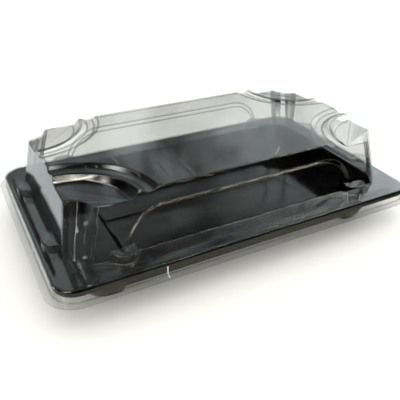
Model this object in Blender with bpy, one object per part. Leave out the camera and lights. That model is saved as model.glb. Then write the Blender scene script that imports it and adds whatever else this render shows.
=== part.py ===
"""Takeaway sushi tray: a black vacuum-formed tray and the clear lid that snaps over its flange.

Both are formed from one thin sheet, so each is worked out twice, as an outer block and as the
same block shrunk by the sheet's thickness, and the shell is what lies between the two.
The table is z = 0, X runs along the long side, and the origin is under the middle of the tray.
"""
from math import atan2, cos, hypot, pi, radians, sin, sqrt

import bmesh
import bpy
from mathutils import Vector

MM = 0.001

# Sheet and fit
SHEET = 0.5 * MM
GAP = 0.3 * MM
CUT_OVER = 4 * MM

# Lid, lip and skirt: half sizes along X and Y
LIP_HALF = (108.0 * MM, 67.05 * MM)
LIP_RADIUS = 14.9 * MM
LIP_Z = 15.6 * MM
RIM_HALF = (104.55 * MM, 63.6 * MM)
RIM_RADIUS = 11.5 * MM
FLANGE_Z = 22.7 * MM
LEDGE_DROP = 0.7 * MM
RIM_ROUND = 1.0 * MM
LEDGE_WIDTH = 1.7 * MM
SLOPE_SIDE = 3.4 * MM
SLOPE_END = 1.3 * MM

# Lid, dome: walls lean in from the flange to the top
BASE_HALF = (95.65 * MM, 50.4 * MM)
TOP_HALF = (89.9 * MM, 46.7 * MM)
TOP_Z = 53.1 * MM
BROW = 1.6 * MM
BROW_INSET = 0.7 * MM
SCALLOP_BASE = 8.8 * MM
SCALLOP_TOP = 11.4 * MM
POST_RADIUS = 3.0 * MM

# Lid, fan panels: distance from the corner and height, centre to edge
FAN_CORNER = (90.5 * MM, 47.1 * MM)
FAN_PROFILE = (
    (6.0, 49.5), (27.6, 49.5), (29.2, 50.3), (31.2, 52.4), (32.4, 52.8), (33.7, 52.5),
    (35.4, 51.4), (39.1, 51.3), (40.4, 52.2), (41.7, 53.1),
)

# Lid, arched panels in the two long walls
ARCH_STRAIGHT = 47.5 * MM
ARCH_SPREAD = 20.5 * MM
ARCH_RISE = 22.1 * MM
ARCH_BAND = 2.3 * MM
ARCH_DEPTH = 1.2 * MM

# Lid, lugs: half-round bumps that stiffen the foot of the walls
LUG_SIDE_X = 69.5 * MM
LUG_END_Y = 28.0 * MM
LUG_HALF_WIDTH = 6.9 * MM
LUG_REACH = 6.4 * MM
LUG_HEIGHT = 4.4 * MM
LUG_LEAN = 0.92

# Tray
TRAY_EDGE_TURN = 3.0 * MM
WELL_HALF = (92.0 * MM, 50.4 * MM)
WELL_RADIUS = 12.5 * MM
WELL_TAPER = (3.2 * MM, 2.0 * MM)
BODY_Z = 3.0 * MM
FOOT_LEDGE_Z = 6.8 * MM
FOOT_TOP_X = (66.5 * MM, 91.0 * MM)
FOOT_BASE_X = (68.5 * MM, 87.5 * MM)
FOOT_TOP_Y = (30.0 * MM, 49.6 * MM)
FOOT_BASE_Y = (32.0 * MM, 48.0 * MM)
FOOT_RADIUS = 11.0 * MM
FOOT_INNER_RADIUS = 3.0 * MM
PLATFORM_Z = 5.1 * MM
PLATFORM_HALF = (60.5 * MM, 38.0 * MM)
PLATFORM_CHAMFER = 8.0 * MM
PLATFORM_DRAFT = 1.2 * MM
CHANNEL_HALF_WIDTH = 7.0 * MM
CHANNEL_DEPTH = 0.8 * MM

CORNER_STEPS = 10
ARCH_STEPS = 14
LUG_STEPS = 12
FAN_STEPS = 20
FAN_HALF_TURN = radians(60)


def clear_scene():
    for thing in list(bpy.data.objects):
        bpy.data.objects.remove(thing, do_unlink=True)


def plastic(name, colour, roughness, alpha=1.0):
    """A Principled material for moulded plastic."""
    material = bpy.data.materials.new(name)
    material.use_nodes = True
    shader = material.node_tree.nodes["Principled BSDF"]
    shader.inputs["Base Color"].default_value = (*colour, 1.0)
    shader.inputs["Roughness"].default_value = roughness
    shader.inputs["Metallic"].default_value = 0.0
    shader.inputs["Alpha"].default_value = alpha
    return material


# Outlines, all counter-clockwise from above

def arc(centre, radius, start, end, steps):
    """Points of a circular arc, both ends included, angles in degrees."""
    points = []
    for i in range(steps + 1):
        angle = radians(start + (end - start) * i / steps)
        points.append((centre[0] + radius * cos(angle), centre[1] + radius * sin(angle)))
    return points


def rounded_rectangle(half, radius, steps=CORNER_STEPS):
    """A rectangle with round corners about the origin."""
    points = []
    for quarter, (sx, sy) in enumerate(((1, 1), (-1, 1), (-1, -1), (1, -1))):
        centre = (sx * (half[0] - radius), sy * (half[1] - radius))
        points += arc(centre, radius, quarter * 90, quarter * 90 + 90, steps)
    return points


def scalloped_corner(half, scallop, post):
    """First-quadrant corner with a hollow scallop between two round posts, end wall to side wall."""
    inset = sqrt(scallop * scallop + 2 * scallop * post)
    lean = atan2(post, inset)
    end_post = (half[0] - post, half[1] - inset)
    side_post = (half[0] - inset, half[1] - post)
    lean_degrees = lean * 180 / pi
    turn = 90 - lean_degrees
    points = arc(end_post, post, 0, turn, 4)
    points += arc(half, scallop, 270 - lean_degrees, 180 + lean_degrees, 8)[1:-1]
    points += arc(side_post, post, 90 - turn, 90, 4)
    return points


def scalloped_rectangle(half, scallop, post):
    """The dome's plan: a rectangle with a scallop in each corner."""
    corner = scalloped_corner(half, scallop, post)
    mirrored = [(-x, y) for x, y in reversed(corner)]
    upper = corner + mirrored
    return upper + [(-x, -y) for x, y in upper]


def chamfered_rectangle(half, chamfer):
    """A rectangle with its corners cut at 45 degrees."""
    corner = [(half[0], half[1] - chamfer), (half[0] - chamfer, half[1])]
    upper = corner + [(-x, y) for x, y in reversed(corner)]
    return upper + [(-x, -y) for x, y in upper]


def at_height(outline, z):
    return [(x, y, z) for x, y in outline]


def shrunk(half, amount):
    return (half[0] - amount, half[1] - amount)


# Solids

def loft(name, loops):
    """A closed solid through loops of equal length, lowest first, capped at both ends."""
    mesh = bpy.data.meshes.new(name)
    net = bmesh.new()
    rings = [[net.verts.new(point) for point in loop] for loop in loops]
    net.faces.new(list(reversed(rings[0])))
    net.faces.new(rings[-1])
    count = len(rings[0])
    for low, high in zip(rings, rings[1:]):
        for i in range(count):
            j = (i + 1) % count
            net.faces.new((low[i], low[j], high[j], high[i]))
    bmesh.ops.recalc_face_normals(net, faces=net.faces)
    net.to_mesh(mesh)
    net.free()
    solid = bpy.data.objects.new(name, mesh)
    bpy.context.collection.objects.link(solid)
    return solid


def combine(target, tool, operation):
    """Apply one exact Boolean to the target and remove the tool."""
    modifier = target.modifiers.new("Combine", "BOOLEAN")
    modifier.operation = operation
    modifier.solver = "EXACT"
    modifier.object = tool
    bpy.context.view_layer.update()
    evaluated = target.evaluated_get(bpy.context.evaluated_depsgraph_get())
    result = bpy.data.meshes.new_from_object(evaluated)
    target.modifiers.clear()
    target.data = result
    bpy.data.objects.remove(tool, do_unlink=True)


def join(target, *tools):
    for tool in tools:
        combine(target, tool, "UNION")


def cut(target, *tools):
    for tool in tools:
        combine(target, tool, "DIFFERENCE")


def clean(solid):
    """Merge the flat pieces that the Booleans leave, so only real edges remain."""
    net = bmesh.new()
    net.from_mesh(solid.data)
    bmesh.ops.remove_doubles(net, verts=net.verts, dist=0.002 * MM)
    bmesh.ops.dissolve_limit(net, angle_limit=radians(0.1), verts=net.verts, edges=net.edges)
    net.to_mesh(solid.data)
    net.free()


def offset_profile(profile, amount):
    """Move an open (radius, height) line downwards by the sheet's thickness, square to itself."""
    moved = []
    for i, (radius, height) in enumerate(profile):
        before = profile[max(i - 1, 0)]
        after = profile[min(i + 1, len(profile) - 1)]
        along = (after[0] - before[0], after[1] - before[1])
        length = hypot(*along)
        moved.append((radius + amount * along[1] / length, height - amount * along[0] / length))
    return moved


# Lid

def wall_half(z, inset):
    """Half sizes of the dome's walls at a height."""
    share = (z - FLANGE_Z) / (TOP_Z - FLANGE_Z)
    return tuple(low + (high - low) * share - inset for low, high in zip(BASE_HALF, TOP_HALF))


def dome_outline(z, inset, brow=0.0):
    """The scalloped plan of the dome at a height, for the skin or for its inner face."""
    share = (z - FLANGE_Z) / (TOP_Z - FLANGE_Z)
    scallop = SCALLOP_BASE + (SCALLOP_TOP - SCALLOP_BASE) * share
    half = shrunk(wall_half(z, inset), brow)
    return at_height(scalloped_rectangle(half, scallop + inset - brow / 2, POST_RADIUS - inset), z)


def fan_cutter(sx, sy, inset):
    """The ring-shaped block that sinks one fan panel, its rib and its groove into the top."""
    section = offset_profile([(r * MM, z * MM) for r, z in FAN_PROFILE], inset)
    (before_r, before_z), (last_r, last_z) = section[-2:]
    steepness = (last_z - before_z) / (last_r - before_r)
    section.append((last_r + CUT_OVER, last_z + CUT_OVER * steepness))
    section.append((section[0][0], section[-1][1]))
    centre = (sx * FAN_CORNER[0], sy * FAN_CORNER[1])
    middle = atan2(-sy, -sx)
    loops = []
    for i in range(FAN_STEPS + 1):
        angle = middle + FAN_HALF_TURN * (2 * i / FAN_STEPS - 1)
        loops.append([(centre[0] + r * cos(angle), centre[1] + r * sin(angle), z)
                      for r, z in section])
    return loft("fan_cutter", loops)


def arch_outline(grow):
    """The arch as (x, height above the flange), grown outwards by an amount."""
    foot = -CUT_OVER * 0.5
    spread = ARCH_SPREAD + grow
    rise = ARCH_RISE + grow
    right = []
    for i in range(ARCH_STEPS + 1):
        angle = radians(90 * i / ARCH_STEPS)
        right.append((ARCH_STRAIGHT + spread * cos(angle), rise * sin(angle)))
    right.insert(0, (ARCH_STRAIGHT + spread, foot))
    return right + [(-x, z) for x, z in reversed(right)]


def arch_cutter(side, inset):
    """The shallow arched block that sinks a panel into one long wall."""
    slope = (BASE_HALF[1] - TOP_HALF[1]) / (TOP_Z - FLANGE_Z)
    lean = atan2(slope, 1.0)
    loops = []
    for grow, depth in ((-ARCH_BAND, ARCH_DEPTH), (ARCH_BAND, -ARCH_DEPTH)):
        loop = []
        for x, rise in arch_outline(grow):
            wall = BASE_HALF[1] - inset - slope * rise
            y = wall - depth * cos(lean)
            loop.append((x, side * y, FLANGE_Z + rise - depth * sin(lean)))
        loops.append(loop)
    return loft("arch_cutter", loops)


def lug(centre, outward, inset):
    """A half-round bump standing on the flange against a wall, flat on top."""
    along = Vector((-outward[1], outward[0], 0.0))
    out = Vector((*outward, 0.0))
    foot_z = FLANGE_Z - 1.2 * MM - inset
    top_z = FLANGE_Z + LUG_HEIGHT - inset
    loops = []
    for z, lean in ((foot_z, 1.0), (top_z, LUG_LEAN)):
        half_width = LUG_HALF_WIDTH * lean - inset
        reach = LUG_REACH * lean - inset
        loop = [Vector((*centre, z)) - out * CUT_OVER + along * half_width,
                Vector((*centre, z)) - out * CUT_OVER - along * half_width]
        for i in range(LUG_STEPS + 1):
            angle = pi * i / LUG_STEPS - pi / 2
            loop.append(Vector((*centre, z)) + along * half_width * sin(angle)
                        + out * reach * cos(angle))
        loops.append(loop)
    return loft("lug", loops)


def lug_places():
    """Centre and outward direction of the eight lugs."""
    places = []
    for side in (1, -1):
        for end in (1, -1):
            places.append(((end * LUG_SIDE_X, side * BASE_HALF[1]), (0.0, side)))
            places.append(((end * BASE_HALF[0], side * LUG_END_Y), (end, 0.0)))
    return places


def rim_loops(inset, foot_z):
    """The stepped block that carries flange and skirt, shrunk by an amount."""
    top = FLANGE_Z - inset
    ledge = top - LEDGE_DROP
    straight = shrunk(RIM_HALF, inset)
    rounded = shrunk(straight, RIM_ROUND * 0.3)
    crown = shrunk(straight, RIM_ROUND)
    inner = shrunk(crown, LEDGE_WIDTH)
    flat = (inner[0] - SLOPE_END, inner[1] - SLOPE_SIDE)
    radius = RIM_RADIUS - inset
    return [
        at_height(rounded_rectangle(straight, radius), foot_z),
        at_height(rounded_rectangle(straight, radius), ledge - RIM_ROUND),
        at_height(rounded_rectangle(rounded, radius), ledge - RIM_ROUND * 0.3),
        at_height(rounded_rectangle(crown, radius), ledge),
        at_height(rounded_rectangle(inner, radius), ledge),
        at_height(rounded_rectangle(flat, radius), top),
    ]


def lid_block(inset, foot_z):
    """The whole lid as a solid, shrunk by an amount: the skin for 0, its inner face for SHEET."""
    low = FLANGE_Z - 1.0 * MM - inset
    brow_z = TOP_Z - BROW
    dome = loft("dome", [
        dome_outline(low, inset),
        dome_outline(brow_z, inset),
        dome_outline(TOP_Z - inset, inset, BROW_INSET),
    ])
    for sx in (1, -1):
        for sy in (1, -1):
            cut(dome, fan_cutter(sx, sy, inset))
    for side in (1, -1):
        cut(dome, arch_cutter(side, inset))
    join(dome, loft("rim", rim_loops(inset, foot_z)))
    for centre, outward in lug_places():
        join(dome, lug(centre, outward, inset))
    return dome


def make_lid():
    lid = lid_block(0.0, LIP_Z - SHEET * 0.6)
    join(lid, loft("lip", [at_height(rounded_rectangle(LIP_HALF, LIP_RADIUS), LIP_Z - SHEET),
                           at_height(rounded_rectangle(LIP_HALF, LIP_RADIUS), LIP_Z)]))
    cut(lid, lid_block(SHEET, LIP_Z - CUT_OVER))
    clean(lid)
    lid.name = "lid"
    lid.data.name = "lid"
    lid.data.materials.clear()
    lid.data.materials.append(plastic("clear_plastic", (0.86, 0.88, 0.87), 0.08, 0.25))


# Tray

def body_loops(inset, low_z, high_z):
    """The tray's well or body, widening upwards from its bottom to the flange."""
    loops = []
    for z in (low_z, high_z):
        share = (FLANGE_Z - z) / (FLANGE_Z - BODY_Z)
        half = tuple(size - taper * share - inset for size, taper in zip(WELL_HALF, WELL_TAPER))
        loops.append(at_height(rounded_rectangle(half, WELL_RADIUS - inset), z))
    return loops


def foot_outline(x_range, y_range, inset, sx, sy):
    """One foot in plan: its outer corner follows the body, its inner corners are tight."""
    x0, x1 = x_range[0] + inset, x_range[1] - inset
    y0, y1 = y_range[0] + inset, y_range[1] - inset
    big = FOOT_RADIUS - inset
    small = FOOT_INNER_RADIUS - inset
    points = arc((x1 - big, y1 - big), big, 0, 90, 6)
    points += arc((x0 + small, y1 - small), small, 90, 180, 3)
    points += arc((x0 + small, y0 + small), small, 180, 270, 3)
    points += arc((x1 - small, y0 + small), small, 270, 360, 3)
    points = [(sx * x, sy * y) for x, y in points]
    return points if sx * sy > 0 else list(reversed(points))


def foot(sx, sy, inset, low_z, high_z):
    """One foot block, or the hollow inside it."""
    return loft("foot", [
        at_height(foot_outline(FOOT_BASE_X, FOOT_BASE_Y, inset, sx, sy), low_z),
        at_height(foot_outline(FOOT_TOP_X, FOOT_TOP_Y, inset, sx, sy), high_z),
    ])


def platform(grow, low_z, top_z):
    """The raised floor, with a shallow channel along its middle."""
    foot_half = (PLATFORM_HALF[0] + PLATFORM_DRAFT + grow, PLATFORM_HALF[1] + PLATFORM_DRAFT + grow)
    top_half = (PLATFORM_HALF[0] + grow, PLATFORM_HALF[1] + grow)
    block = loft("platform", [at_height(chamfered_rectangle(foot_half, PLATFORM_CHAMFER), low_z),
                              at_height(chamfered_rectangle(top_half, PLATFORM_CHAMFER), top_z)])
    channel_half = (PLATFORM_HALF[0] + CUT_OVER, CHANNEL_HALF_WIDTH - grow)
    channel_top = (PLATFORM_HALF[0] + CUT_OVER, channel_half[1] + CHANNEL_DEPTH)
    cut(block, loft("channel", [
        at_height(chamfered_rectangle(channel_half, 1.0 * MM), top_z - CHANNEL_DEPTH),
        at_height(chamfered_rectangle(channel_top, 1.0 * MM), top_z + CHANNEL_DEPTH),
    ]))
    return block


def make_tray():
    clearance = SHEET + GAP
    plate_z = FLANGE_Z - clearance
    turned_z = plate_z - LEDGE_DROP - TRAY_EDGE_TURN
    tray = loft("tray", rim_loops(clearance, turned_z))
    cut(tray, loft("under", rim_loops(clearance + SHEET, turned_z - CUT_OVER)))
    join(tray, loft("body", body_loops(0.0, BODY_Z, plate_z - SHEET * 0.5)))
    corners = [(sx, sy) for sx in (1, -1) for sy in (1, -1)]
    for sx, sy in corners:
        join(tray, foot(sx, sy, 0.0, 0.0, FOOT_LEDGE_Z))
    cut(tray, platform(-SHEET, BODY_Z - CUT_OVER, PLATFORM_Z - SHEET))
    well = loft("well", body_loops(SHEET, BODY_Z + SHEET, plate_z + CUT_OVER))
    cut(well, platform(0.0, BODY_Z - SHEET, PLATFORM_Z))
    for sx, sy in corners:
        join(well, foot(sx, sy, SHEET, SHEET, FOOT_LEDGE_Z - SHEET))
    cut(tray, well)
    clean(tray)
    tray.name = "tray"
    tray.data.name = "tray"
    tray.data.materials.clear()
    tray.data.materials.append(plastic("black_plastic", (0.012, 0.012, 0.013), 0.18))


clear_scene()
make_tray()
make_lid()
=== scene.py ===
from math import pi, radians

import bmesh
import bpy
from mathutils import Matrix, Vector


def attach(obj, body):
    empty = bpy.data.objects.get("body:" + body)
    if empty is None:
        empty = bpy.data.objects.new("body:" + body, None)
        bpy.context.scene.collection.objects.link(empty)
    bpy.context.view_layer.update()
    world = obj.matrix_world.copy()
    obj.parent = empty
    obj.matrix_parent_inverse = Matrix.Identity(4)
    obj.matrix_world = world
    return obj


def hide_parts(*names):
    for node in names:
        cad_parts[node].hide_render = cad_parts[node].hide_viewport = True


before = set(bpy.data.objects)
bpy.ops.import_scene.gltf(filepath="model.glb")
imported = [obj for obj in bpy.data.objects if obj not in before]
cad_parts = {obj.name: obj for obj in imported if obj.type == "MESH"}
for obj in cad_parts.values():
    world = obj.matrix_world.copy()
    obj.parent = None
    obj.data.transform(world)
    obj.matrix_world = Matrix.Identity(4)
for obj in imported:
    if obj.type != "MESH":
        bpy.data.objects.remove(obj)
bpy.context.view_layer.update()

bl_info = {
    "name": "Takeaway sushi tray",
    "version": (1, 0, 0),
    "blender": (4, 5, 0),
    "location": "View3D > Sidebar > Sushi tray",
    "description": "Finishes an empty black sushi tray with its clear lid and sets up a pale studio",
    "category": "Object",
}

MM = 0.001

# Merging the CAD triangles into whole faces
MERGE_GAP = 0.005 * MM
FLAT_ANGLE = radians(0.4)

# Which edges are rounded: sharp ones, off the feet and off narrow faces
SHARP_ANGLE = radians(24)
FOOT_INNER_X = 62 * MM
FOOT_INNER_Y = 26 * MM
FOOT_TOP = 8 * MM
NARROW_FACE = 0.9 * MM
FLAT_FACE_WEIGHT = 60

# Which faces get the painted shade of a fold, which bends light away: rounded ones up to this size,
# and all that are thinner than this, such as the cut edge of the sheet and the strips of a tight curve
LARGEST_BEND = 60 * MM * MM
THIN_FACE = 0.55 * MM

# Creases: name, middle and size in millimetres
CREASES = (
    ("crease_front_skirt", (-53.5, -63.75, 18.2), (0.55, 0.3, 4.2)),
    ("crease_front_lip", (-53.5, -65.1, 15.7), (0.5, 2.2, 0.25)),
    ("crease_left_skirt", (-104.7, -20.0, 18.2), (0.3, 0.55, 4.2)),
    ("crease_left_lip", (-106.1, -20.0, 15.7), (2.2, 0.5, 0.25)),
)
CREASE_ROUNDING = 0.08 * MM

# Colours of light
NEUTRAL = (1.0, 0.99, 0.96)
DAYLIGHT = (0.93, 1.0, 1.03)
WARM = (1.0, 0.93, 0.78)

# Broad lights: direction and sharpness
WINDOW = ((0.80, 0.47, 0.36), 22.0)
WALL = ((-0.30, 0.88, -0.37), 8.0)
BEHIND = ((0.36, 0.79, 0.50), 6.0)
# Heights between which the table's light fades out: -1 is straight down, 0 level, 1 straight up
TABLE_EDGE = (-0.52, -0.38)
# Small lamps: direction, sharpness, share and colour
LAMPS = (
    ((0.35, 0.20, 0.91), 2500.0, 1.0, WARM),
    ((-0.55, 0.10, 0.83), 260.0, 1.0, NEUTRAL),
    ((0.10, -0.12, 0.98), 400.0, 1.0, NEUTRAL),
    ((0.60, -0.30, 0.74), 260.0, 1.0, NEUTRAL),
    ((-0.92, 0.34, -0.19), 300.0, 1.6, DAYLIGHT),
)
# Long lamps: the direction they run square to, the heights between which they come on, share, colour
TUBES = (
    ((0.0, 1.0, 0.25), (0.35, 0.6), 1.0, WARM),
    ((1.0, 0.0, 0.45), (0.75, 0.9), 0.4, NEUTRAL),
)
TUBE_SHARPNESS = 450.0
# Lamps that soften the shadow: name and place
FILL_LIGHTS = {
    "fill_top": (0.0, -0.4, 1.8),
    "fill_front": (0.0, -1.5, 0.9),
    "fill_left": (-1.5, -0.5, 0.9),
    "fill_right": (1.5, -0.5, 0.9),
}
FILL_SIZE = 1.4
BACKDROP_LIGHT = 1.2

# Floor and camera
FLOOR_GAP = 0.1 * MM
SENSOR_WIDTH = 36.0
NEAREST_SEEN = 10 * MM
DEEPEST_BLACK = (0.004, 0.004, 0.004)
# How many clear faces light passes before it stops
MAX_SEE_THROUGH = 32


# Settings a user would change

class SheetSettings(bpy.types.PropertyGroup):
    """The formed plastic sheet."""

    edge_radius: bpy.props.FloatProperty(
        name="Lid edge radius", description="Rounding along the edges of the clear lid",
        default=0.45 * MM, min=0.1 * MM, max=2 * MM, unit="LENGTH")
    tray_edge_radius: bpy.props.FloatProperty(
        name="Tray edge radius", description="Rounding along the edges of the black tray",
        default=0.6 * MM, min=0.1 * MM, max=2 * MM, unit="LENGTH")
    edge_steps: bpy.props.IntProperty(
        name="Edge steps", description="Faces across one rounded edge", default=3, min=1, max=6)
    smooth_angle: bpy.props.FloatProperty(
        name="Smooth below", description="Edges flatter than this are shaded smooth",
        default=radians(32), subtype="ANGLE")


class PlasticSettings(bpy.types.PropertyGroup):
    """Colours and gloss of the two plastics."""

    black: bpy.props.FloatVectorProperty(
        name="Black", description="Colour of the tray", subtype="COLOR", size=3,
        min=0, max=1, default=(0.003, 0.003, 0.0032))
    black_roughness: bpy.props.FloatProperty(
        name="Tray roughness", description="Gloss of the tray", default=0.1, min=0, max=1)
    clear: bpy.props.FloatVectorProperty(
        name="Clear", description="Tint of the lid", subtype="COLOR", size=3,
        min=0, max=1, default=(0.965, 0.972, 0.968))
    # painted shade: what shows through the lid is darkened where the sheet is seen edge-on, standing
    # in for the light the real sheet bends away there
    painted_edge_shade: bpy.props.FloatVectorProperty(
        name="Clear edge", description="Tint of the lid where it is seen edge-on", subtype="COLOR",
        size=3, min=0, max=1, default=(0.42, 0.42, 0.41))
    # painted shade along the folds and cut edge of the lid, standing in for the light the real sheet
    # bends away
    painted_fold_shade: bpy.props.FloatVectorProperty(
        name="Clear bend", description="Tint of the lid along its folds, which bend light away",
        subtype="COLOR", size=3, min=0, max=1, default=(0.72, 0.73, 0.72))
    clear_roughness: bpy.props.FloatProperty(
        name="Lid roughness", description="Gloss of the lid", default=0.045, min=0, max=1)
    haze: bpy.props.FloatProperty(
        name="Haze", description="Share of the lid dulled by dust and scuffs", default=0.004,
        min=0, max=0.2)
    specks: bpy.props.FloatProperty(
        name="Specks", description="How white the dust specks and hair scratches on the lid are",
        default=0.18, min=0, max=1)
    clear_index: bpy.props.FloatProperty(
        name="Refraction", description="Index of refraction of the clear sheet",
        default=1.55, min=1.3, max=1.8)


class StudioSettings(bpy.types.PropertyGroup):
    """Floor, light and camera."""

    floor_colour: bpy.props.FloatVectorProperty(
        name="Floor", description="Colour of the floor", subtype="COLOR", size=3,
        min=0, max=1, default=(0.93, 0.92, 0.89))
    floor_size: bpy.props.FloatProperty(
        name="Floor size", description="Length of the floor's side", default=30.0, unit="LENGTH")
    tube_light: bpy.props.FloatProperty(
        name="Tube light", description="Strength of the long ceiling lamps that line the edges",
        default=20.0)
    window_light: bpy.props.FloatProperty(
        name="Window light", description="Strength of the soft light at the back right", default=2.3)
    wall_light: bpy.props.FloatProperty(
        name="Wall light", description="Strength of the pale wall low at the back left", default=1.25)
    back_light: bpy.props.FloatProperty(
        name="Back light", description="Strength of the dim light behind the table", default=0.36)
    even_light: bpy.props.FloatProperty(
        name="Even light", description="Shadowless light that the plastic doesn't mirror",
        default=1.06)
    table_light: bpy.props.FloatProperty(
        name="Table light", description="Strength of the table's own light from below", default=0.4)
    lamp_light: bpy.props.FloatProperty(
        name="Lamp light", description="Strength of the small lamps that line the edges", default=7.0)
    fill_power: bpy.props.FloatProperty(
        name="Fill light", description="Power of each lamp that softens the shadow", default=3.0,
        subtype="POWER")
    room_light: bpy.props.FloatProperty(
        name="Room light", description="Strength of the light from all round", default=0.03)
    camera_place: bpy.props.FloatVectorProperty(
        name="Camera place", description="Where the camera stands", subtype="XYZ", size=3,
        unit="LENGTH", default=(-0.1278, -0.2280, 0.1660))
    camera_azimuth: bpy.props.FloatProperty(
        name="Azimuth", description="Turn of the camera about the vertical",
        default=radians(-28.80), subtype="ANGLE")
    camera_elevation: bpy.props.FloatProperty(
        name="Elevation", description="How far the camera looks down",
        default=radians(31.39), subtype="ANGLE")
    camera_roll: bpy.props.FloatProperty(
        name="Roll", description="Tilt of the camera about its own axis",
        default=radians(1.22), subtype="ANGLE")
    camera_lens: bpy.props.FloatProperty(
        name="Lens", description="Focal length in millimetres on a 36 mm sensor", default=45.23)


# Helpers for working in edit mode

def deselect_all():
    bpy.ops.object.select_all(action="DESELECT")


def make_active(piece):
    deselect_all()
    piece.select_set(True)
    bpy.context.view_layer.objects.active = piece


def merged_copy(node, name):
    """A copy of a CAD node with its loose triangles merged and its flat faces made whole."""
    piece = bpy.data.objects.new(name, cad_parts[node].data.copy())
    piece.data.name = name
    piece.data.materials.clear()
    bpy.context.collection.objects.link(piece)
    make_active(piece)
    bpy.ops.object.mode_set(mode="EDIT")
    bpy.ops.mesh.select_all(action="SELECT")
    bpy.ops.mesh.remove_doubles(threshold=MERGE_GAP)
    bpy.ops.mesh.dissolve_limited(angle_limit=FLAT_ANGLE)
    bpy.ops.object.mode_set(mode="OBJECT")
    return piece


def near_foot(point):
    """True inside the four corner feet, whose walls lie too close together to be rounded."""
    return abs(point.x) > FOOT_INNER_X and abs(point.y) > FOOT_INNER_Y and point.z < FOOT_TOP


def face_width(face):
    """How wide a long thin face is; half the side of a square one."""
    return 2 * face.calc_area() / face.calc_perimeter()


def can_round(edge):
    """False on the feet and beside faces that are too narrow to be rounded."""
    on_foot = any(near_foot(corner.co) for corner in edge.verts)
    beside_narrow = any(face_width(face) < NARROW_FACE for face in edge.link_faces)
    return not on_foot and not beside_narrow


def soften_edges(piece, radius, steps, smooth_angle):
    """Round the edges a little, as vacuum forming does, and shade the faces smooth.

    The attribute "bend" is 1 on small rounded faces and on all thin ones, such as the cut edge of
    the sheet, and 0 elsewhere; the lid paints shade on these faces.
    """
    make_active(piece)
    bpy.ops.object.mode_set(mode="EDIT")
    bpy.ops.mesh.select_mode(type="EDGE")
    bpy.ops.mesh.select_all(action="DESELECT")
    bpy.ops.mesh.edges_select_sharp(sharpness=SHARP_ANGLE)
    net = bmesh.from_edit_mesh(piece.data)
    for edge in net.edges:
        if not can_round(edge):
            edge.select_set(False)
    bmesh.update_edit_mesh(piece.data)
    bpy.ops.mesh.bevel(offset=radius, offset_type="OFFSET", segments=steps, affect="EDGES",
                       clamp_overlap=False, miter_outer="ARC")
    net = bmesh.from_edit_mesh(piece.data)
    bend = net.faces.layers.float.new("bend")
    for face in net.faces:
        rounded = face.select and face.calc_area() < LARGEST_BEND
        # marks the faces on which the lid gets its painted fold shade
        face[bend] = float(rounded or face_width(face) < THIN_FACE)
    bmesh.update_edit_mesh(piece.data)
    bpy.ops.object.mode_set(mode="OBJECT")
    bpy.ops.object.shade_smooth_by_angle(angle=smooth_angle)
    weighted = piece.modifiers.new("Flat faces stay flat", "WEIGHTED_NORMAL")
    weighted.mode = "FACE_AREA"
    weighted.weight = FLAT_FACE_WEIGHT
    weighted.keep_sharp = True
    bpy.ops.object.modifier_apply(modifier=weighted.name)


# Materials

def new_material(name):
    material = bpy.data.materials.new(name)
    material.use_nodes = True
    material.node_tree.nodes.clear()
    return material, material.node_tree


def object_place(tree):
    return tree.nodes.new("ShaderNodeTexCoord").outputs["Object"]


def feed(tree, value, socket):
    """Give a socket its value: another node's output, or a plain number or colour."""
    if isinstance(value, bpy.types.NodeSocket):
        tree.links.new(value, socket)
    else:
        socket.default_value = value


def calculate(tree, operation, *terms):
    """Work out a value from numbers and other nodes' outputs."""
    node = tree.nodes.new("ShaderNodeMath")
    node.operation = operation
    for term, socket in zip(terms, node.inputs):
        feed(tree, term, socket)
    return node.outputs["Value"]


def rescale(tree, value, old, new, curve="LINEAR"):
    """Turn one range of values into another; a value outside the range is held at its end."""
    node = tree.nodes.new("ShaderNodeMapRange")
    node.interpolation_type = curve
    for end, name in zip((*old, *new), ("From Min", "From Max", "To Min", "To Max")):
        feed(tree, end, node.inputs[name])
    feed(tree, value, node.inputs["Value"])
    return node.outputs["Result"]


def cloud(tree, place, scale, detail=2.0, roughness=0.5, distortion=0.0):
    """Uneven pattern; the higher the scale, the finer it is."""
    node = tree.nodes.new("ShaderNodeTexNoise")
    node.inputs["Scale"].default_value = scale
    node.inputs["Detail"].default_value = detail
    node.inputs["Roughness"].default_value = roughness
    node.inputs["Distortion"].default_value = distortion
    tree.links.new(place, node.inputs["Vector"])
    return node.outputs["Fac"]


def shade_between(tree, value, start, end, dark=(0.0, 0.0, 0.0), light=(1.0, 1.0, 1.0)):
    """Blend from a dark colour to a light one as a value goes from start to end."""
    node = tree.nodes.new("ShaderNodeValToRGB")
    first, last = node.color_ramp.elements
    first.position = start
    first.color = (*dark, 1.0)
    last.position = end
    last.color = (*light, 1.0)
    tree.links.new(value, node.inputs["Fac"])
    return node.outputs["Color"]


def relief(tree, height, strength, distance, normal=None):
    """Surface direction as bent by a small relief, on top of an earlier one if it is given."""
    node = tree.nodes.new("ShaderNodeBump")
    node.inputs["Strength"].default_value = strength
    node.inputs["Distance"].default_value = distance
    tree.links.new(height, node.inputs["Height"])
    if normal is not None:
        tree.links.new(normal, node.inputs["Normal"])
    return node.outputs["Normal"]


def mix_colours(tree, share, first, second, blend="MIX"):
    node = tree.nodes.new("ShaderNodeMix")
    node.data_type = "RGBA"
    node.blend_type = blend
    feed(tree, share, node.inputs["Factor"])
    feed(tree, first, node.inputs["A"])
    feed(tree, second, node.inputs["B"])
    return node.outputs["Result"]


def mix_shaders(tree, share, first, second):
    node = tree.nodes.new("ShaderNodeMixShader")
    tree.links.new(share, node.inputs["Fac"])
    tree.links.new(first, node.inputs[1])
    tree.links.new(second, node.inputs[2])
    return node.outputs["Shader"]


def set_surface(tree, shader):
    output = tree.nodes.new("ShaderNodeOutputMaterial")
    tree.links.new(shader, output.inputs["Surface"])


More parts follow.
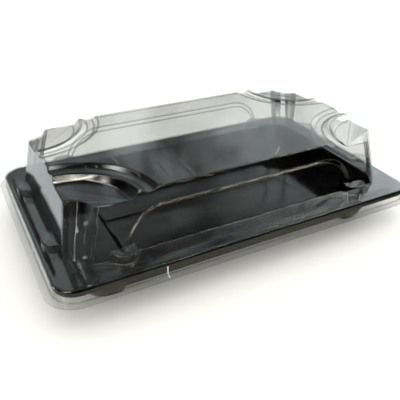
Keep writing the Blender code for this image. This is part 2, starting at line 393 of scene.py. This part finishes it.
def hair_scratches(tree, place):
    """Fine scratches: a pattern drawn out along one direction, kept only where it peaks."""
    mapping = tree.nodes.new("ShaderNodeMapping")
    mapping.inputs["Scale"].default_value = (1.0, 0.12, 1.0)
    tree.links.new(place, mapping.inputs["Vector"])
    drawn_out = cloud(tree, mapping.outputs["Vector"], scale=420.0, detail=3.0)
    return shade_between(tree, drawn_out, 0.62, 0.72)


def sheet_reflection(tree, index, normal):
    """Share of light that one face of a clear sheet reflects, the same from inside and outside."""
    geometry = tree.nodes.new("ShaderNodeNewGeometry")
    fresnel = tree.nodes.new("ShaderNodeFresnel")
    side = rescale(tree, geometry.outputs["Backfacing"], (0.0, 1.0), (index, 1.0 / index))
    tree.links.new(side, fresnel.inputs["IOR"])
    tree.links.new(normal, fresnel.inputs["Normal"])
    return fresnel.outputs["Fac"]


def tint_with_painted_shade(tree, settings):
    """Colour of the light that comes through: the sheet's own tint, with painted shade edge-on and
    along the folds.
    """
    weight = tree.nodes.new("ShaderNodeLayerWeight")
    # painted shade: the more edge-on the sheet is seen, the darker, mixed into the sheet's own tint
    slant = calculate(tree, "POWER", weight.outputs["Facing"], 3.0)
    tint = mix_colours(tree, slant, (*settings.clear, 1.0), (*settings.painted_edge_shade, 1.0))
    # painted shade on the faces marked as folds
    bend = tree.nodes.new("ShaderNodeAttribute")
    bend.attribute_name = "bend"
    return mix_colours(tree, bend.outputs["Fac"], tint, (*settings.painted_fold_shade, 1.0), "MULTIPLY")


def dust_share(tree, place, haze, scratches, settings):
    """How much of the lid is dulled by haze, specks and scratches: most on level faces."""
    film = rescale(tree, haze, (0.45, 0.75), (settings.haze * 0.3, settings.haze * 2.0))
    grains = cloud(tree, place, scale=900.0)
    specks = rescale(tree, grains, (0.70, 0.78), (0.0, settings.specks))
    dull = calculate(tree, "ADD", film, specks)
    scuffed = calculate(tree, "MULTIPLY_ADD", scratches, settings.specks * 0.15, dull)
    facing = tree.nodes.new("ShaderNodeSeparateXYZ")
    geometry = tree.nodes.new("ShaderNodeNewGeometry")
    tree.links.new(geometry.outputs["Normal"], facing.inputs["Vector"])
    settled = rescale(tree, facing.outputs["Z"], (0.3, 0.9), (0.15, 1.0))
    return calculate(tree, "MULTIPLY", scuffed, settled)


def clear_plastic(settings):
    """Clear sheet: see-through, glossy by angle, wavy from forming, with scuffs and a little haze."""
    material, tree = new_material("clear_plastic")
    place = object_place(tree)
    waves = cloud(tree, place, scale=28.0, detail=1.0)
    haze = cloud(tree, place, scale=35.0, detail=4.0)
    scratches = hair_scratches(tree, place)
    normal = relief(tree, waves, strength=0.1, distance=1 * MM)
    normal = relief(tree, scratches, strength=0.15, distance=0.1 * MM, normal=normal)

    shine = tree.nodes.new("ShaderNodeBsdfGlossy")
    roughness = settings.clear_roughness
    gloss = rescale(tree, haze, (0.35, 0.7), (roughness * 0.6, roughness * 1.8))
    tree.links.new(gloss, shine.inputs["Roughness"])
    tree.links.new(normal, shine.inputs["Normal"])
    through = tree.nodes.new("ShaderNodeBsdfTransparent")
    tree.links.new(tint_with_painted_shade(tree, settings), through.inputs["Color"])
    reflected = sheet_reflection(tree, settings.clear_index, normal)
    sheet = mix_shaders(tree, reflected, through.outputs["BSDF"], shine.outputs["BSDF"])

    dust = tree.nodes.new("ShaderNodeBsdfDiffuse")
    dust.inputs["Color"].default_value = (0.8, 0.8, 0.78, 1.0)
    share = dust_share(tree, place, haze, scratches, settings)
    set_surface(tree, mix_shaders(tree, share, sheet, dust.outputs["BSDF"]))
    return material


def whitened_plastic():
    """Clear sheet stretched over a sharp mark until it has gone white."""
    material, tree = new_material("whitened_plastic")
    shader = tree.nodes.new("ShaderNodeBsdfPrincipled")
    shader.inputs["Roughness"].default_value = 0.35
    streaks = cloud(tree, object_place(tree), scale=700.0)
    colour = shade_between(tree, streaks, 0.3, 0.7, (0.45, 0.46, 0.45), (0.85, 0.86, 0.85))
    tree.links.new(colour, shader.inputs["Base Color"])
    set_surface(tree, shader.outputs["BSDF"])
    return material


def black_plastic(settings):
    """Black sheet: deep gloss with a faint orange peel and a little dust."""
    material, tree = new_material("black_plastic")
    place = object_place(tree)
    shader = tree.nodes.new("ShaderNodeBsdfPrincipled")
    shader.inputs["Specular IOR Level"].default_value = 0.5
    dust = cloud(tree, place, scale=60.0, detail=6.0, roughness=0.7)
    colour = shade_between(tree, dust, 0.45, 0.85, settings.black, (0.02, 0.019, 0.017))
    tree.links.new(colour, shader.inputs["Base Color"])
    roughness = settings.black_roughness
    gloss = rescale(tree, dust, (0.3, 0.7), (roughness * 0.8, roughness * 1.6))
    tree.links.new(gloss, shader.inputs["Roughness"])
    peel = cloud(tree, place, scale=180.0)
    tree.links.new(relief(tree, peel, strength=0.12, distance=0.2 * MM), shader.inputs["Normal"])
    set_surface(tree, shader.outputs["BSDF"])
    return material


def floor_plastic(colour):
    """Pale, matt studio floor."""
    material, tree = new_material("studio_floor")
    shader = tree.nodes.new("ShaderNodeBsdfPrincipled")
    shader.inputs["Base Color"].default_value = (*colour, 1.0)
    shader.inputs["Roughness"].default_value = 0.9
    shader.inputs["Specular IOR Level"].default_value = 0.1
    set_surface(tree, shader.outputs["BSDF"])
    return material


# Studio light

def along(tree, direction, toward):
    """How well a direction agrees with a fixed one: 1 along it, 0 square to it."""
    dot = tree.nodes.new("ShaderNodeVectorMath")
    dot.operation = "DOT_PRODUCT"
    dot.inputs[1].default_value = Vector(toward).normalized()
    tree.links.new(direction, dot.inputs[0])
    return dot.outputs["Value"]


def height_of(tree, direction):
    """How far up a direction points: 1 straight up, 0 level, -1 straight down."""
    parts = tree.nodes.new("ShaderNodeSeparateXYZ")
    tree.links.new(direction, parts.inputs["Vector"])
    return parts.outputs["Z"]


def glow(tree, direction, toward, sharpness, strength):
    """Light that is strongest in one direction and falls off smoothly around it."""
    ahead = calculate(tree, "MAXIMUM", along(tree, direction, toward), 0.0)
    shape = calculate(tree, "POWER", ahead, sharpness)
    return calculate(tree, "MULTIPLY", shape, strength)


def tube(tree, direction, across, heights, strength):
    """A long thin lamp: bright in the plane square to one direction, from one height to another."""
    aside = along(tree, direction, across)
    in_plane = calculate(tree, "SUBTRACT", 1.0, calculate(tree, "MULTIPLY", aside, aside))
    line = calculate(tree, "POWER", in_plane, TUBE_SHARPNESS)
    above = rescale(tree, height_of(tree, direction), heights, (0.0, strength))
    return calculate(tree, "MULTIPLY", line, above)


def table_glow(tree, direction, strength):
    """Light from the pale table right round the tray: full low down, none above its edge."""
    return rescale(tree, height_of(tree, direction), TABLE_EDGE, (strength, 0.0), "SMOOTHSTEP")


def light(tree, strength, colour):
    node = tree.nodes.new("ShaderNodeBackground")
    node.inputs["Color"].default_value = (*colour, 1.0)
    feed(tree, strength, node.inputs["Strength"])
    return node.outputs["Background"]


def studio_world(settings):
    """What the plastic mirrors: a dim room, a window, a pale wall, patches behind, table and lamps."""
    world = bpy.data.worlds.new("studio")
    world.use_nodes = True
    tree = world.node_tree
    tree.nodes.clear()
    direction = tree.nodes.new("ShaderNodeTexCoord").outputs["Generated"]
    path = tree.nodes.new("ShaderNodeLightPath").outputs

    patches = cloud(tree, direction, scale=6.0, detail=3.0, distortion=0.6)
    patches = rescale(tree, patches, (0.42, 0.58), (0.1, 2.1))
    behind = glow(tree, direction, *BEHIND, settings.back_light)
    lights = [
        (glow(tree, direction, *WINDOW, settings.window_light), DAYLIGHT),
        (glow(tree, direction, *WALL, settings.wall_light), DAYLIGHT),
        (calculate(tree, "MULTIPLY", behind, patches), DAYLIGHT),
        (table_glow(tree, direction, settings.table_light), WARM),
        (rescale(tree, path["Is Glossy Ray"], (0.0, 1.0), (settings.even_light, 0.0)), NEUTRAL),
    ]
    lamps = [(glow(tree, direction, toward, sharpness, share * settings.lamp_light), colour)
             for toward, sharpness, share, colour in LAMPS]
    lamps += [(tube(tree, direction, across, heights, share * settings.tube_light), colour)
              for across, heights, share, colour in TUBES]
    lights += [(calculate(tree, "MULTIPLY", lamp, path["Is Glossy Ray"]), colour)
               for lamp, colour in lamps]

    room = light(tree, settings.room_light, NEUTRAL)
    for strength, colour in lights:
        both = tree.nodes.new("ShaderNodeAddShader")
        tree.links.new(room, both.inputs[0])
        tree.links.new(light(tree, strength, colour), both.inputs[1])
        room = both.outputs["Shader"]
    backdrop = light(tree, BACKDROP_LIGHT, NEUTRAL)
    output = tree.nodes.new("ShaderNodeOutputWorld")
    tree.links.new(mix_shaders(tree, path["Is Camera Ray"], room, backdrop), output.inputs["Surface"])
    return world


def fill_light(name, place, power):
    """A broad lamp aimed at the tray that lights the floor but isn't mirrored in the plastic."""
    bpy.ops.object.light_add(type="AREA", location=place)
    lamp = bpy.context.active_object
    lamp.name = name
    lamp.data.shape = "DISK"
    lamp.data.size = FILL_SIZE
    lamp.data.energy = power
    lamp.rotation_euler = Vector(place).to_track_quat("Z", "Y").to_euler()
    lamp.visible_glossy = False
    lamp.visible_camera = False


# Operators

class SUSHITRAY_OT_tray(bpy.types.Operator):
    """Finish the black tray: rounded edges and glossy black plastic"""
    bl_idname = "sushitray.tray"
    bl_label = "Black tray"

    def execute(self, context):
        sheet = context.scene.sushi_sheet
        tray = merged_copy("tray", "black_tray")
        soften_edges(tray, sheet.tray_edge_radius, sheet.edge_steps, sheet.smooth_angle)
        tray.data.materials.append(black_plastic(context.scene.sushi_plastic))
        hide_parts("tray")
        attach(tray, "root")
        return {"FINISHED"}


class SUSHITRAY_OT_lid(bpy.types.Operator):
    """Finish the clear lid: rounded edges and clear, lightly scuffed plastic"""
    bl_idname = "sushitray.lid"
    bl_label = "Clear lid"

    def execute(self, context):
        sheet = context.scene.sushi_sheet
        lid = merged_copy("lid", "clear_lid")
        soften_edges(lid, sheet.edge_radius, sheet.edge_steps, sheet.smooth_angle)
        lid.data.materials.append(clear_plastic(context.scene.sushi_plastic))
        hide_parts("lid")
        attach(lid, "root")
        return {"FINISHED"}


class SUSHITRAY_OT_marks(bpy.types.Operator):
    """Add the short whitened creases that the mould leaves down the skirt and across the lip"""
    bl_idname = "sushitray.marks"
    bl_label = "Skirt creases"

    def execute(self, context):
        sheet = context.scene.sushi_sheet
        plastic = whitened_plastic()
        for name, (x, y, z), size in CREASES:
            deselect_all()
            bpy.ops.mesh.primitive_cube_add(size=1.0, location=(x * MM, y * MM, z * MM))
            crease = context.active_object
            crease.name = name
            crease.scale = [length * MM for length in size]
            bpy.ops.object.transform_apply(location=True, rotation=False, scale=True)
            bpy.ops.object.mode_set(mode="EDIT")
            bpy.ops.mesh.select_all(action="SELECT")
            bpy.ops.mesh.bevel(offset=CREASE_ROUNDING, segments=sheet.edge_steps, affect="EDGES")
            bpy.ops.object.mode_set(mode="OBJECT")
            bpy.ops.object.shade_smooth_by_angle(angle=sheet.smooth_angle)
            crease.data.materials.append(plastic)
            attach(crease, "root")
        return {"FINISHED"}


class SUSHITRAY_OT_stage(bpy.types.Operator):
    """Set up the pale floor, the soft studio light and the camera"""
    bl_idname = "sushitray.stage"
    bl_label = "Studio"

    def execute(self, context):
        settings = context.scene.sushi_studio
        deselect_all()
        bpy.ops.mesh.primitive_plane_add(size=settings.floor_size, location=(0.0, 0.0, -FLOOR_GAP))
        floor = context.active_object
        floor.name = "studio_floor"
        floor.data.materials.append(floor_plastic(settings.floor_colour))
        floor.visible_glossy = False

        for name, place in FILL_LIGHTS.items():
            fill_light(name, place, settings.fill_power)
        context.scene.world = studio_world(settings)
        context.scene.cycles.transparent_max_bounces = MAX_SEE_THROUGH

        bpy.ops.object.camera_add()
        camera = context.active_object
        camera.name = "camera"
        turn = Matrix.Rotation(settings.camera_azimuth, 4, "Z")
        tilt = Matrix.Rotation(pi / 2 - settings.camera_elevation, 4, "X")
        roll = Matrix.Rotation(settings.camera_roll, 4, "Z")
        camera.matrix_world = Matrix.Translation(settings.camera_place) @ turn @ tilt @ roll
        camera.data.lens = settings.camera_lens
        camera.data.sensor_width = SENSOR_WIDTH
        camera.data.clip_start = NEAREST_SEEN
        context.scene.camera = camera
        view = context.scene.view_settings
        view.view_transform = "Standard"
        view.use_curve_mapping = True
        view.curve_mapping.black_level = DEEPEST_BLACK
        view.curve_mapping.update()
        return {"FINISHED"}


class SUSHITRAY_PT_panel(bpy.types.Panel):
    """Lists the steps that make the tray"""
    bl_label = "Sushi tray"
    bl_idname = "SUSHITRAY_PT_panel"
    bl_space_type = "VIEW_3D"
    bl_region_type = "UI"
    bl_category = "Sushi tray"

    def draw(self, context):
        for step in STEPS:
            self.layout.operator(step.bl_idname)


STEPS = (SUSHITRAY_OT_tray, SUSHITRAY_OT_lid, SUSHITRAY_OT_marks, SUSHITRAY_OT_stage)
SETTINGS = {
    "sushi_sheet": SheetSettings,
    "sushi_plastic": PlasticSettings,
    "sushi_studio": StudioSettings,
}
CLASSES = (*SETTINGS.values(), *STEPS, SUSHITRAY_PT_panel)


def register():
    for item in CLASSES:
        bpy.utils.register_class(item)
    for name, group in SETTINGS.items():
        setattr(bpy.types.Scene, name, bpy.props.PointerProperty(type=group))


def unregister():
    for name in SETTINGS:
        delattr(bpy.types.Scene, name)
    for item in reversed(CLASSES):
        bpy.utils.unregister_class(item)


def main():
    register()
    bpy.ops.sushitray.tray()
    bpy.ops.sushitray.lid()
    bpy.ops.sushitray.marks()
    bpy.ops.sushitray.stage()


if __name__ == "__main__":
    main()
